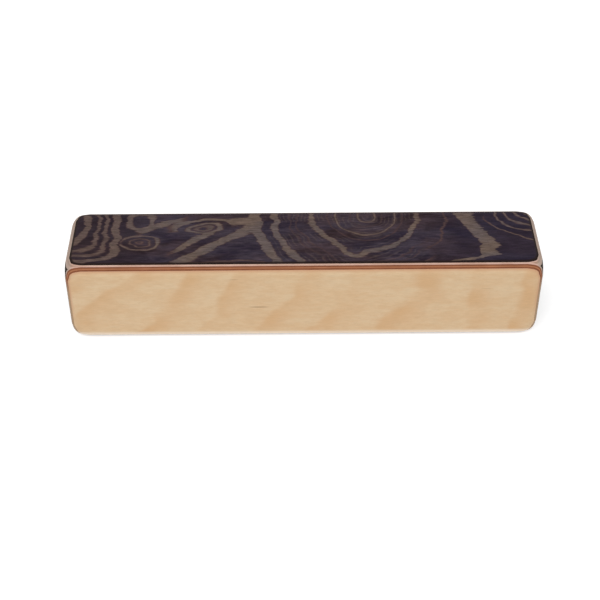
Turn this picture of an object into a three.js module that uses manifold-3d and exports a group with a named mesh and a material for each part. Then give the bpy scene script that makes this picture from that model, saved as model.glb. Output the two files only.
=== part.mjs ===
// A double shaker: a square tube of four plywood panels with a dark board set in each end. The birch
// panels are full size, and the dark ones lie between them. A divider makes two long sound chambers,
// the front one with loose steel balls and the back one with loose seeds.
// Millimetres, +Z up. X runs along the box, -Y is its birch front, and the box stands on Z = 0.
import * as THREE from "three";
import { mergeVertices } from "three/addons/utils/BufferGeometryUtils.js";
import Module from "manifold-3d";

// The box outside. The four long edges are rounded most, then the level edges at the ends, then the
// upright ones. Sanding takes each corner down to a ball, which cuts into it by a share of the
// panel thickness, so that the tube stays closed there.
const LENGTH = 240;
const DEPTH = 48;
const HEIGHT = 48;
const LONG_EDGE_RADIUS = 6;
const END_EDGE_RADIUS = 5;
const UPRIGHT_EDGE_RADIUS = 4.6;
const CORNER_RADIUS = 11;
const CORNER_CUT_SHARE = 0.923;

// The birch panels, from the outside in.
const BIRCH_FACE_PLY = 0.95;
const BIRCH_CROSS_PLY = 0.5;
const BIRCH_MIDDLE_PLY = 0.35;
const BIRCH_INNER_CROSS_PLY = 0.6;
const BIRCH_INNER_PLY = 0.6;

// The dark panels, from the outside in. Their inner ply makes them as thick as the birch ones.
const DARK_VENEER = 0.7;
const DARK_FACE_PLY = 0.3;
const DARK_CORE_PLY = 0.7;

// The boards in the two ends of the tube, flush with the panels.
const END_BOARD_THICKNESS = 4;

// The divider between the chambers.
const DIVIDER_THICKNESS = 3;
const DIVIDER_FACE_PLY = 0.8;

// The loose filling. Each ball and seed lies this far clear of the wood.
const BALL_DIAMETER = 3.2;
const SEED_DIAMETER = 4.6;
const SEED_THICKNESS = 3.4;
const LOOSE_CLEARANCE = 0.2;
const PIECES_PER_ROW = 5;

// Where each row rests, as a share of its free way from the middle of the chamber, and how far a
// piece strays along the chamber, as a share of the pitch between pieces.
const BALL_ROW_SHARES = { a: -0.62, b: 0.18, c: 0.55 };
const SEED_ROW_SHARES = { a: 0.48, b: -0.3, c: 0.1 };
const STRAY_SHARE = 0.22;

// Each rounded edge has twice this many facets.
const EDGE_STEPS = 4;
const CORNER_STEPS = 10;
const BALL_DETAIL = 1;

// How far a cutting shape runs past what it cuts.
const OVERRUN = 1;

const BIRCH_OUTER_PLIES = BIRCH_FACE_PLY + BIRCH_CROSS_PLY;
const BIRCH_INNER_PLIES = BIRCH_INNER_CROSS_PLY + BIRCH_INNER_PLY;
const PANEL_THICKNESS = BIRCH_OUTER_PLIES + BIRCH_MIDDLE_PLY + BIRCH_INNER_PLIES;
const DARK_INNER_PLY = PANEL_THICKNESS - DARK_VENEER - DARK_FACE_PLY - DARK_CORE_PLY;

const DIRECTION = {
  x: new THREE.Vector3(1, 0, 0),
  y: new THREE.Vector3(0, 1, 0),
  z: new THREE.Vector3(0, 0, 1),
};
const HALF = { x: LENGTH / 2, y: DEPTH / 2, z: HEIGHT / 2 };
const INNER_LENGTH = LENGTH - 2 * END_BOARD_THICKNESS;
const INNER_DEPTH = DEPTH - 2 * PANEL_THICKNESS;
const INNER_HEIGHT = HEIGHT - 2 * PANEL_THICKNESS;
const CHAMBER_DEPTH = (INNER_DEPTH - DIVIDER_THICKNESS) / 2;
const CHAMBER_MIDDLE = (DIVIDER_THICKNESS + CHAMBER_DEPTH) / 2;

const DARK_WOOD = { color: 0x3a2f33, roughness: 0.5, metalness: 0 };
const DARK_BOARD = { color: 0x2e2629, roughness: 0.55, metalness: 0 };
const BIRCH = { color: 0xd9b895, roughness: 0.55, metalness: 0 };
const PALE_PLY = { color: 0xddb498, roughness: 0.6, metalness: 0 };
const BROWN_PLY = { color: 0x9a6244, roughness: 0.65, metalness: 0 };
const STEEL = { color: 0xb8bcc0, roughness: 0.25, metalness: 1 };
const SEED = { color: 0x8a5a34, roughness: 0.6, metalness: 0 };

const wasm = await Module();
wasm.setup();

function toSolid(geometry) {
  const positions = geometry.clone();
  positions.deleteAttribute("normal");
  positions.deleteAttribute("uv");
  const merged = mergeVertices(positions);
  const mesh = new wasm.Mesh({
    numProp: 3,
    vertProperties: new Float32Array(merged.attributes.position.array),
    triVerts: new Uint32Array(merged.index.array),
  });
  return new wasm.Manifold(mesh);
}

function toGeometry(solid) {
  const mesh = solid.getMesh();
  const geometry = new THREE.BufferGeometry();
  geometry.setAttribute("position", new THREE.BufferAttribute(mesh.vertProperties, mesh.numProp));
  geometry.setIndex(new THREE.BufferAttribute(mesh.triVerts, 1));
  geometry.computeVertexNormals();
  return geometry;
}

function namedMesh(name, geometry, finish) {
  const mesh = new THREE.Mesh(geometry, new THREE.MeshStandardMaterial({ ...finish, flatShading: true }));
  mesh.name = name;
  return mesh;
}

function roundedRectangle(halfWidth, halfHeight, radius) {
  const right = halfWidth - radius;
  const top = halfHeight - radius;
  const shape = new THREE.Shape();
  shape.absarc(right, top, radius, 0, Math.PI / 2);
  shape.absarc(-right, top, radius, Math.PI / 2, Math.PI);
  shape.absarc(-right, -top, radius, Math.PI, 1.5 * Math.PI);
  shape.absarc(right, -top, radius, 1.5 * Math.PI, 2 * Math.PI);
  return shape;
}

// A bar along one axis with the section of the box and its four edges rounded.
function roundedBar(axis, across, up, radius) {
  const section = roundedRectangle(HALF[across], HALF[up], radius);
  const halfLength = HALF[axis] + OVERRUN;
  const settings = { depth: 2 * halfLength, curveSegments: EDGE_STEPS, bevelEnabled: false };
  const bar = new THREE.ExtrudeGeometry(section, settings);
  bar.translate(0, 0, -halfLength);
  const directions = [across, up, axis].map((name) => DIRECTION[name]);
  bar.applyMatrix4(new THREE.Matrix4().makeBasis(...directions));
  return toSolid(bar);
}

// What sanding takes off one corner: the corner block outside a ball. On the line from its centre
// to the corner, the ball's surface lies equally deep under all three faces.
function cornerWaste(signX, signY, signZ) {
  const centreDepth = CORNER_CUT_SHARE * PANEL_THICKNESS + CORNER_RADIUS / Math.sqrt(3);
  const side = centreDepth + OVERRUN;
  const block = new THREE.BoxGeometry(side, side, side);
  block.translate(
    signX * (HALF.x + OVERRUN - side / 2),
    signY * (HALF.y + OVERRUN - side / 2),
    signZ * (HALF.z + OVERRUN - side / 2),
  );
  const ball = new THREE.SphereGeometry(CORNER_RADIUS, 4 * CORNER_STEPS, 2 * CORNER_STEPS);
  ball.translate(
    signX * (HALF.x - centreDepth),
    signY * (HALF.y - centreDepth),
    signZ * (HALF.z - centreDepth),
  );
  return toSolid(block).subtract(toSolid(ball));
}

// The outside of the glued box after its edges are rounded and its corners sanded.
function boxOutside() {
  const longBar = roundedBar("x", "y", "z", LONG_EDGE_RADIUS);
  const levelBar = roundedBar("y", "z", "x", END_EDGE_RADIUS);
  const uprightBar = roundedBar("z", "x", "y", UPRIGHT_EDGE_RADIUS);
  let outside = longBar.intersect(levelBar).intersect(uprightBar);
  for (const signX of [-1, 1]) {
    for (const signY of [-1, 1]) {
      for (const signZ of [-1, 1]) {
        outside = outside.subtract(cornerWaste(signX, signY, signZ));
      }
    }
  }
  return outside;
}

function darkPlies() {
  return [
    { layer: "veneer", thickness: DARK_VENEER, finish: DARK_WOOD },
    { layer: "face_ply", thickness: DARK_FACE_PLY, finish: PALE_PLY },
    { layer: "core_ply", thickness: DARK_CORE_PLY, finish: BROWN_PLY },
    { layer: "inner_ply", thickness: DARK_INNER_PLY, finish: PALE_PLY },
  ];
}

function birchPlies() {
  return [
    { layer: "face_ply", thickness: BIRCH_FACE_PLY, finish: BIRCH },
    { layer: "cross_ply", thickness: BIRCH_CROSS_PLY, finish: BROWN_PLY },
    { layer: "middle_ply", thickness: BIRCH_MIDDLE_PLY, finish: PALE_PLY },
    { layer: "inner_cross_ply", thickness: BIRCH_INNER_CROSS_PLY, finish: BROWN_PLY },
    { layer: "inner_ply", thickness: BIRCH_INNER_PLY, finish: PALE_PLY },
  ];
}

// A panel under one long face of the tube. Its plies run past both ends, and the width is how far
// they reach across the face.
function panel(name, axis, side, width, plies, outside) {
  const group = new THREE.Group();
  let depth = 0;
  for (const ply of plies) {
    const thicknesses = axis === "y" ? [ply.thickness, width] : [width, ply.thickness];
    const sheet = new THREE.BoxGeometry(LENGTH + 2 * OVERRUN, ...thicknesses);
    const middle = DIRECTION[axis].clone();
    middle.multiplyScalar(side * (HALF[axis] - depth - ply.thickness / 2));
    sheet.translate(...middle);
    const trimmed = outside.intersect(toSolid(sheet));
    group.add(namedMesh(name + "_" + ply.layer, toGeometry(trimmed), ply.finish));
    depth += ply.thickness;
  }
  return group;
}

// A board that closes one end of the tube, between its four panels.
function endBoard(name, side, outside) {
  const thickness = END_BOARD_THICKNESS + OVERRUN;
  const board = new THREE.BoxGeometry(thickness, INNER_DEPTH, INNER_HEIGHT);
  board.translate(side * (HALF.x + OVERRUN - thickness / 2), 0, 0);
  return namedMesh(name, toGeometry(outside.intersect(toSolid(board))), DARK_BOARD);
}

function shell() {
  const outside = boxOutside();
  const group = new THREE.Group();
  group.add(panel("top", "z", 1, INNER_DEPTH, darkPlies(), outside));
  group.add(panel("bottom", "z", -1, INNER_DEPTH, darkPlies(), outside));
  group.add(panel("front", "y", -1, HEIGHT, birchPlies(), outside));
  group.add(panel("back", "y", 1, HEIGHT, birchPlies(), outside));
  group.add(endBoard("left_end_board", -1, outside));
  group.add(endBoard("right_end_board", 1, outside));
  return group;
}

// The divider stands on edge in the middle, glued to the inner plies and the end boards.
function divider() {
  const coreThickness = DIVIDER_THICKNESS - 2 * DIVIDER_FACE_PLY;
  const faceMiddle = (coreThickness + DIVIDER_FACE_PLY) / 2;
  const plies = [
    { name: "divider_front_ply", thickness: DIVIDER_FACE_PLY, middle: -faceMiddle, finish: PALE_PLY },
    { name: "divider_core_ply", thickness: coreThickness, middle: 0, finish: BROWN_PLY },
    { name: "divider_back_ply", thickness: DIVIDER_FACE_PLY, middle: faceMiddle, finish: PALE_PLY },
  ];
  const group = new THREE.Group();
  for (const ply of plies) {
    const sheet = new THREE.BoxGeometry(INNER_LENGTH, ply.thickness, INNER_HEIGHT);
    const mesh = namedMesh(ply.name, sheet, ply.finish);
    mesh.position.y = ply.middle;
    group.add(mesh);
  }
  return group;
}

function ballGeometry() {
  return new THREE.IcosahedronGeometry(BALL_DIAMETER / 2, BALL_DETAIL);
}

function seedGeometry() {
  const seed = new THREE.IcosahedronGeometry(SEED_DIAMETER / 2, BALL_DETAIL);
  seed.scale(1, 1, SEED_THICKNESS / SEED_DIAMETER);
  return seed;
}

// The loose pieces of one chamber, in rows that roll across it on their own. Neighbours along the
// chamber belong to different rows, so the rows pass each other.
function filling(name, side, rowShares, diameter, thickness, geometry, finish) {
  const rows = Object.keys(rowShares);
  const count = rows.length * PIECES_PER_ROW;
  const pitch = (INNER_LENGTH - 2 * LOOSE_CLEARANCE) / count;
  const freeWay = (CHAMBER_DEPTH - diameter) / 2 - LOOSE_CLEARANCE;
  const group = new THREE.Group();
  for (let index = 0; index < count; index++) {
    const row = rows[index % rows.length];
    const place = Math.floor(index / rows.length) + 1;
    const stray = STRAY_SHARE * pitch * Math.sin(index * index);
    const mesh = namedMesh(name + "_" + row + place, geometry.clone(), finish);
    mesh.position.set(
      (index - (count - 1) / 2) * pitch + stray,
      side * CHAMBER_MIDDLE + rowShares[row] * freeWay,
      (thickness - INNER_HEIGHT) / 2 + LOOSE_CLEARANCE,
    );
    group.add(mesh);
  }
  return group;
}

const shaker = new THREE.Group();
shaker.position.z = HALF.z;
shaker.add(shell());
shaker.add(divider());
shaker.add(filling("steel_ball", -1, BALL_ROW_SHARES, BALL_DIAMETER, BALL_DIAMETER, ballGeometry(), STEEL));
shaker.add(filling("seed", 1, SEED_ROW_SHARES, SEED_DIAMETER, SEED_THICKNESS, seedGeometry(), SEED));

export default shaker;
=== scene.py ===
"""The looks of the double shaker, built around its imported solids.

Metres, +Z up. X runs along the box, -Y is its birch front, and the box lies on Z = 0.
Lengths named here are in millimetres, and MM turns them into metres.
"""

import math

import bmesh
import bpy
import numpy as np
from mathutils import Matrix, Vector


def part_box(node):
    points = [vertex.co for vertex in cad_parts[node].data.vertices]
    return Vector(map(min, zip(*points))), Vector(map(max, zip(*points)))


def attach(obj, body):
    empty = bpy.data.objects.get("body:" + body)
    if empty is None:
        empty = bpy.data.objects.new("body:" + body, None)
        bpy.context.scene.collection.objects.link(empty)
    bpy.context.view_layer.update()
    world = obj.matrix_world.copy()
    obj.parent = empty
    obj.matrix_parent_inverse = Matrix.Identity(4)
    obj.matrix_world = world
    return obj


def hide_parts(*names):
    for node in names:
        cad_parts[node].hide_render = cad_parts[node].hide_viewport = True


MM = 0.001

# The sanded outside of the box, as in the solids.
LENGTH = 240
DEPTH = 48
HEIGHT = 48
LONG_EDGE_RADIUS = 6
END_EDGE_RADIUS = 5
UPRIGHT_EDGE_RADIUS = 4.6

# Each corner is sanded down to a ball, whose outermost point lies this deep under all three faces, and
# which blends softly into the edges.
CORNER_RADIUS = 11
CORNER_CUT = 2.77
CORNER_BLEND = 1.6
CORNER_BLEND_START = 2

# The mesh of the outside: fine steps near the edges, coarse ones between, and smoothed corners.
EDGE_ZONE = 12
EDGE_STEPS = 26
FLAT_STEPS = 6
SMOOTHED_ZONE = 1.3 * EDGE_ZONE
SMOOTHED_SHARE = 0.5
SHARP_ANGLE = math.radians(18)

# How the outside is found: how far out the search for it starts, as a share of the way from the core
# to a block's side, and how often the search is halved.
SEARCH_REACH = 1.5
SEARCH_HALVINGS = 40

# The decimal places that tell points apart, and those that cuts are rounded to. A side of a solid that
# is flush with the outside of the box, or this near it, needs no cut.
POINT_DIGITS = 4
CUT_DIGITS = 3
CUT_TOLERANCE = 1e-6
FLUSH = 0.01

# The loose filling.
GRAINS_PER_BODY = 5
PITCH = 15.44
BALL_DIAMETER = 3.2
BALL_SPACING = 3.35
BALLS_PER_PLACE = 4
SEED_DIAMETER = 4.6
SEED_THICKNESS = 3.4
SEED_SPACING = 4.75
SEEDS_PER_PLACE = 3
SEED_SMALLEST = 0.9
DIMPLE_RADIUS = 0.7
DIMPLE_DEPTH_SHARE = 0.08
GRAIN_DETAIL = 3
TURN_SEED = 4
SIZE_SEED = 9

# The camera, fitted to the outline of the box in the photograph. Its turns are in degrees, round X, Y
# and Z in that order, from looking straight down.
CAMERA_PLACE = (-6.943, -528.920, 467.711)
CAMERA_TURNS = (48.83645, 0.0598, -0.58945)
CAMERA_LENS = 79.589
CAMERA_SENSOR = 36

# The light.
SKY_STRENGTH = 0.5
WHITE = (1.0, 1.0, 1.0, 1.0)
LAMP_AIM = (0, 0, HEIGHT / 2)
KEY_LAMP = {"place": (-500, -750, 1150), "side": 900, "power": 9}
FILL_LAMP = {"place": (900, -300, 700), "side": 700, "power": 2.5}
FLOOR_SIDE = 6000
FLOOR_COLOUR = (0.86, 0.86, 0.86, 1.0)
FLOOR_ROUGHNESS = 0.9
FLOOR_GLOW = 0.5

# Sockets that share their name with others of their node, by number.
MIXED_COLOURS, MIXED_COLOUR = (6, 7), 2
MIXED_VALUES, MIXED_VALUE = (2, 3), 0
RANDOM_ENDS, RANDOM_VALUE = (2, 3), 1

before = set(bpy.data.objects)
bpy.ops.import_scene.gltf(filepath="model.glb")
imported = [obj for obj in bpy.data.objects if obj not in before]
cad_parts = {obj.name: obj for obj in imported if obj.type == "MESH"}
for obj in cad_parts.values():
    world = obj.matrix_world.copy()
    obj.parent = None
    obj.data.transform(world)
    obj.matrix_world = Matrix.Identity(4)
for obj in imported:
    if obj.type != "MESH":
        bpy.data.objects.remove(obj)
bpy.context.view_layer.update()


def colour(red, green, blue):
    """A colour given as it looks on a screen, 0 to 255, as the linear colour that a node takes."""
    channels = []
    for value in (red, green, blue):
        share = value / 255
        channels.append(share / 12.92 if share <= 0.04045 else ((share + 0.055) / 1.055) ** 2.4)
    return (*channels, 1.0)


# The sanded outside.


def grid_places(half):
    """Places across one side of the box, close together where its edges are rounded."""
    zone = [EDGE_ZONE * math.tan(math.pi / 4 * step / EDGE_STEPS) for step in range(EDGE_STEPS + 1)]
    high = [half - EDGE_ZONE + place for place in zone]
    flat = np.linspace(-(half - EDGE_ZONE), half - EDGE_ZONE, FLAT_STEPS + 1)[1:-1]
    return [-place for place in reversed(high)] + list(flat) + high


def rounded_depth(points, first, second, halves, radius):
    """How far points lie outside a bar whose section has rounded corners."""
    outside = []
    for axis in (first, second):
        outside.append(np.abs(points[:, axis]) - (halves[axis] - radius))
    away = np.maximum(np.stack(outside, axis=1), 0)
    inner = np.minimum(np.maximum(outside[0], outside[1]), 0)
    return np.linalg.norm(away, axis=1) + inner - radius


def sanded_depth(points, halves):
    """How far points lie outside the sanded box."""
    long_edges = rounded_depth(points, 1, 2, halves, LONG_EDGE_RADIUS)
    end_edges = rounded_depth(points, 0, 2, halves, END_EDGE_RADIUS)
    upright_edges = rounded_depth(points, 0, 1, halves, UPRIGHT_EDGE_RADIUS)
    centre_depth = CORNER_CUT + CORNER_RADIUS / math.sqrt(3)
    away = np.abs(points) - (halves - centre_depth)
    corners = np.linalg.norm(np.maximum(away, 0), axis=1) - CORNER_RADIUS
    edges = np.max(np.stack([long_edges, end_edges, upright_edges]), axis=0)
    near = np.clip(away.min(axis=1) / CORNER_BLEND_START, 0, 1)
    closeness = np.maximum(CORNER_BLEND - np.abs(edges - corners), 0) / CORNER_BLEND
    return np.maximum(edges, corners) + near * closeness**2 * CORNER_BLEND / 4


def gridded_block(halves):
    """A block of four-sided faces, round its centre, whose points lie close together along its edges."""
    mesh = bmesh.new()
    corners = {}

    def vertex(place):
        key = tuple(round(value, POINT_DIGITS) for value in place)
        if key not in corners:
            corners[key] = mesh.verts.new(place)
        return corners[key]

    for axis in range(3):
        first, second = (axis + 1) % 3, (axis + 2) % 3
        across, up = grid_places(halves[first]), grid_places(halves[second])
        for side in (-1, 1):
            for column in range(len(across) - 1):
                for row in range(len(up) - 1):
                    ring = [(column, row), (column + 1, row), (column + 1, row + 1), (column, row + 1)]
                    places = []
                    for i, j in ring[::side]:
                        place = [0.0, 0.0, 0.0]
                        place[axis] = side * halves[axis]
                        place[first], place[second] = across[i], up[j]
                        places.append(place)
                    mesh.faces.new([vertex(place) for place in places])
    return mesh


def sanded_box():
    """The outside of the box as one closed mesh, in millimetres round its centre. Each point of a block
    is drawn in towards the block's core until it lies on the sanded outside."""
    halves = np.array([LENGTH, DEPTH, HEIGHT]) / 2
    mesh = gridded_block(halves)
    points = np.array([vert.co for vert in mesh.verts])
    cores = np.clip(points, -(halves - EDGE_ZONE), halves - EDGE_ZONE)
    near, far = np.zeros(len(points)), np.full(len(points), SEARCH_REACH)
    for _ in range(SEARCH_HALVINGS):
        middle = (near + far) / 2
        inside = sanded_depth(cores + (points - cores) * middle[:, None], halves) < 0
        near, far = np.where(inside, middle, near), np.where(inside, far, middle)
    points = cores + (points - cores) * near[:, None]
    for vert, point in zip(mesh.verts, points):
        vert.co = point
    starts = halves - SMOOTHED_ZONE
    at_corners = [vert for vert in mesh.verts if all(abs(vert.co[a]) > starts[a] for a in range(3))]
    every_axis = {"use_axis_x": True, "use_axis_y": True, "use_axis_z": True}
    bmesh.ops.smooth_vert(mesh, verts=at_corners, factor=SMOOTHED_SHARE, **every_axis)
    for face in mesh.faces:
        face.smooth = True
    return mesh


def trim(mesh, axis, place, side):
    """Cuts everything beyond a plane off a closed mesh, and closes the cut with a flat face."""
    normal = Vector((0, 0, 0))
    normal[axis] = side
    plane = {"plane_co": normal * (side * place), "plane_no": normal, "dist": CUT_TOLERANCE}
    everything = list(mesh.verts) + list(mesh.edges) + list(mesh.faces)
    cut = bmesh.ops.bisect_plane(mesh, geom=everything, clear_outer=True, **plane)
    rim = [part for part in cut["geom_cut"] if isinstance(part, bmesh.types.BMEdge)]
    closed = bmesh.ops.edgeloop_fill(mesh, edges=rim)
    for face in closed["faces"]:
        face.smooth = False


def finish_mesh(name, mesh, material):
    bmesh.ops.recalc_face_normals(mesh, faces=mesh.faces)
    data = bpy.data.meshes.new(name)
    mesh.to_mesh(data)
    mesh.free()
    data.materials.append(material)
    piece = bpy.data.objects.new(name, data)
    bpy.context.scene.collection.objects.link(piece)
    return piece


def sanded_piece(node, outside, material):
    """One board or ply: the sanded outside of the box, cut down to where its solid lies."""
    lowest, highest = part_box(node)
    mesh = outside.copy()
    middle = Vector((0, 0, HEIGHT / 2))
    halves = Vector((LENGTH, DEPTH, HEIGHT)) / 2
    for axis in range(3):
        low, high = lowest[axis] / MM - middle[axis], highest[axis] / MM - middle[axis]
        if high < halves[axis] - FLUSH:
            trim(mesh, axis, round(high, CUT_DIGITS), 1)
        if low > -halves[axis] + FLUSH:
            trim(mesh, axis, round(low, CUT_DIGITS), -1)
    for vert in mesh.verts:
        vert.co = (vert.co + middle) * MM
    piece = finish_mesh("sanded_" + node, mesh, material)
    piece.data.set_sharp_from_angle(angle=SHARP_ANGLE)
    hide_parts(node)
    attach(piece, "box")
    return piece


# Helpers for node trees.


def connect(tree, value, socket):
    if isinstance(value, bpy.types.NodeSocket):
        tree.links.new(value, socket)
    else:
        socket.default_value = value


def add_node(tree, kind, inputs=None, **settings):
    node = tree.nodes.new(kind)
    for name, value in settings.items():
        setattr(node, name, value)
    for name, value in (inputs or {}).items():
        connect(tree, value, node.inputs[name])
    return node


def maths(tree, operation, *values):
    node = tree.nodes.new("ShaderNodeMath")
    node.operation = operation
    for socket, value in zip(node.inputs, values):
        connect(tree, value, socket)
    return node.outputs[0]


def vector_maths(tree, operation, *values):
    node = tree.nodes.new("ShaderNodeVectorMath")
    node.operation = operation
    for socket, value in zip(node.inputs, values):
        connect(tree, value, socket)
    return node.outputs["Value" if operation in ("LENGTH", "DOT_PRODUCT") else "Vector"]


def greatest(tree, *values):
    """The greatest of several values."""
    result, *others = values
    for value in others:
        result = maths(tree, "MAXIMUM", result, value)
    return result


def faded(tree, value, *masks):
    """A value times each of its masks."""
    for mask in masks:
        value = maths(tree, "MULTIPLY", value, mask)
    return value


def plain_noise(tree, place, detail, roughness):
    """Soft noise round 0.5, whose features are as long as a place's unit."""
    inputs = {"Vector": place, "Scale": 1.0, "Detail": detail, "Roughness": roughness}
    return add_node(tree, "ShaderNodeTexNoise", inputs).outputs["Fac"]


# How far a noise's shift moves it along X, Y and Z.
SHIFT_RATES = (1.0, 1.7, 2.3)


def noise(tree, place, lengths, detail, roughness, shift=0.0):
    """Soft noise round 0.5, whose features have these lengths in millimetres along X, Y and Z."""
    scaled = vector_maths(tree, "MULTIPLY", place, tuple(1 / length for length in lengths))
    moved = vector_maths(tree, "ADD", scaled, tuple(shift * rate for rate in SHIFT_RATES))
    return plain_noise(tree, moved, detail, roughness)


def spread(tree, value, low, high, to_low=0.0, to_high=1.0, kind="SMOOTHSTEP"):
    """Maps a value from one range to another and holds it there."""
    inputs = {"Value": value, "From Min": low, "From Max": high, "To Min": to_low, "To Max": to_high}
    return add_node(tree, "ShaderNodeMapRange", inputs, interpolation_type=kind).outputs["Result"]


# Nearly all of a soft noise lies in this range.
NOISE_RANGE = (0.3, 0.7)


def vary(tree, value, low, high):
    """Maps a soft noise evenly to a range."""
    return spread(tree, value, *NOISE_RANGE, low, high, "LINEAR")


def blend(tree, share, first, second, kind="MIX"):
    node = add_node(tree, "ShaderNodeMix", {"Factor": share}, data_type="RGBA", blend_type=kind)
    for number, value in zip(MIXED_COLOURS, (first, second)):
        connect(tree, value, node.inputs[number])
    return node.outputs[MIXED_COLOUR]


def blend_values(tree, share, first, second):
    node = add_node(tree, "ShaderNodeMix", {"Factor": share}, data_type="FLOAT")
    for number, value in zip(MIXED_VALUES, (first, second)):
        connect(tree, value, node.inputs[number])
    return node.outputs[MIXED_VALUE]


def shader_group(name, inputs, outputs):
    """A group with named inputs and outputs. Returns it with its input sockets and its output node."""
    tree = bpy.data.node_groups.new(name, "ShaderNodeTree")
    for socket, kind, value in inputs:
        item = tree.interface.new_socket(name=socket, in_out="INPUT", socket_type=kind)
        if value is not None:
            item.default_value = value
    for socket, kind in outputs:
        tree.interface.new_socket(name=socket, in_out="OUTPUT", socket_type=kind)
    entry = tree.nodes.new("NodeGroupInput")
    exit_node = tree.nodes.new("NodeGroupOutput")
    return tree, entry.outputs, exit_node.inputs


def use_group(tree, group, inputs):
    node = tree.nodes.new("ShaderNodeGroup")
    node.node_tree = group
    for name, value in inputs.items():
        connect(tree, value, node.inputs[name])
    return node.outputs


def place_in_millimetres(tree):
    coordinates = tree.nodes.new("ShaderNodeTexCoord").outputs["Object"]
    return vector_maths(tree, "DIVIDE", coordinates, (MM, MM, MM))


def new_material(name, specular):
    """A material with its shader, and its tree."""
    material = bpy.data.materials.new(name)
    material.use_nodes = True
    tree = material.node_tree
    shader = tree.nodes["Principled BSDF"]
    shader.inputs["Specular IOR Level"].default_value = specular
    return material, tree, shader


def add_relief(tree, shader, height, distance):
    bump = add_node(tree, "ShaderNodeBump", {"Height": height, "Distance": distance * MM})
    tree.links.new(bump.outputs["Normal"], shader.inputs["Normal"])


# Effects that several finishes use.

VECTOR, FLOAT = "NodeSocketVector", "NodeSocketFloat"

FIBRE_NOISE = (4.0, 0.62)
PORE_NOISE = (1.0, 0.5)
PORE_RATES = (2.6, 1.5, 1.5)
PORE_LEVELS = (0.60, 0.74)
STREAK_NOISE = (3.0, 0.6)
PATCH_NOISE = ((14, 5, 5), 2.0, 0.5, 4.0)


def drawn_out(tree, place, length, width):
    """A place in units of a length along X and of a width across it."""
    sizes = add_node(tree, "ShaderNodeCombineXYZ", {"X": length, "Y": width, "Z": width})
    return vector_maths(tree, "DIVIDE", place, sizes.outputs[0])


def fibres_group():
    """Fine wood fibres and short dark pores that run along X."""
    inputs = [("Place", VECTOR, None), ("Fibre Length", FLOAT, 12.0), ("Fibre Width", FLOAT, 0.5)]
    tree, given, out = shader_group("wood_fibres", inputs, [("Fibres", FLOAT), ("Pores", FLOAT)])
    scaled = drawn_out(tree, given["Place"], given["Fibre Length"], given["Fibre Width"])
    cells = plain_noise(tree, vector_maths(tree, "MULTIPLY", scaled, PORE_RATES), *PORE_NOISE)
    connect(tree, plain_noise(tree, scaled, *FIBRE_NOISE), out["Fibres"])
    connect(tree, spread(tree, cells, *PORE_LEVELS), out["Pores"])
    return tree


def cut_edge_group():
    """The cut edge of a ply: streaks along its grain, dots of end grain across it, and soft patches."""
    inputs = [("Place", VECTOR, None), ("Streak Length", FLOAT, 9.0), ("Streak Width", FLOAT, 0.25)]
    tree, given, out = shader_group("ply_cut_edge", inputs, [("Grain", FLOAT), ("Patches", FLOAT)])
    scaled = drawn_out(tree, given["Place"], given["Streak Length"], given["Streak Width"])
    connect(tree, plain_noise(tree, scaled, *STREAK_NOISE), out["Grain"])
    connect(tree, noise(tree, given["Place"], *PATCH_NOISE), out["Patches"])
    return tree


def slope(tree, place, along, across, rest):
    """A value that grows evenly over a face: along for each millimetre of X, and across for each of Y."""
    return maths(tree, "ADD", vector_maths(tree, "DOT_PRODUCT", place, (along, across, 0)), rest)


def ring_distance(tree, place, centre, stretch=(1, 1)):
    """The distance from a knot, whose rings may be stretched along X and Y."""
    moved = vector_maths(tree, "SUBTRACT", place, (*centre, 0))
    return vector_maths(tree, "LENGTH", vector_maths(tree, "DIVIDE", moved, (*stretch, 1)))


def bands(tree, growth, *rows):
    """Light bands where a growth value is near the middle of one of them. A row gives the middle,
    the half width and the strength."""
    lights = []
    for middle, half_width, strength in rows:
        away = maths(tree, "ABSOLUTE", maths(tree, "SUBTRACT", growth, middle))
        full, none = half_width - BAND_SOFTNESS / 2, half_width + BAND_SOFTNESS
        lights.append(spread(tree, away, full, none, strength, 0.0))
    return greatest(tree, *lights)


def feathered(tree, growth, feather, share=1.0):
    """A growth value with a share of the wood's feathering added, which frays the rims of its bands."""
    return maths(tree, "MULTIPLY_ADD", feather, share, growth)


# The dark veneer's figure, in millimetres on its face. One large knot lies right of the middle. The
# ground left of it is cut on the slant, with three small knots, and waves upright at its left end.
# A knot has its centre, and how its rings are stretched. A slope has its rise for each millimetre along
# X and along Y, and its value at the middle of the face. A pair of places along the box is where a
# part of the figure starts or ends, softly from the first to the second.
BAND_SOFTNESS = 0.7

# How far the figure wanders along X and along Y, and how far its bands' rims are frayed.
WANDER_NOISE = ((24, 11, 1), 3.0, 0.5)
WANDER_SHIFTS = (1.0, 9.0)
WANDER_REACHES = (11.0, 9.0)
FEATHER_NOISE = ((8, 0.55, 1), 4.0, 0.65, 5.0)
FEATHER_REACH = 3.6

# The large knot. Its inner rings wander less than the rest.
LARGE_KNOT = (32, 16.5)
LARGE_KNOT_SPUR = (27, -9.0)
SPUR_GROWTH = 21.5
SPUR_SOFTNESS = 2.5
LARGE_KNOT_BANDS = ((27.5, 1.3, 0.95), (36.0, 0.35, 0.3), (39.5, 0.3, 0.3), (57.0, 2.5, 1.0))
LARGE_KNOT_STRIP = (47.8, 1.6, 1.0)
INNER_WANDER = 0.45
INNER_FEATHER = 0.35
INNER_BANDS = ((4.6, 0.4, 0.85), (8.6, 0.2, 0.3), (15.5, 0.3, 0.95), (19.5, 0.3, 0.35))

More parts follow.
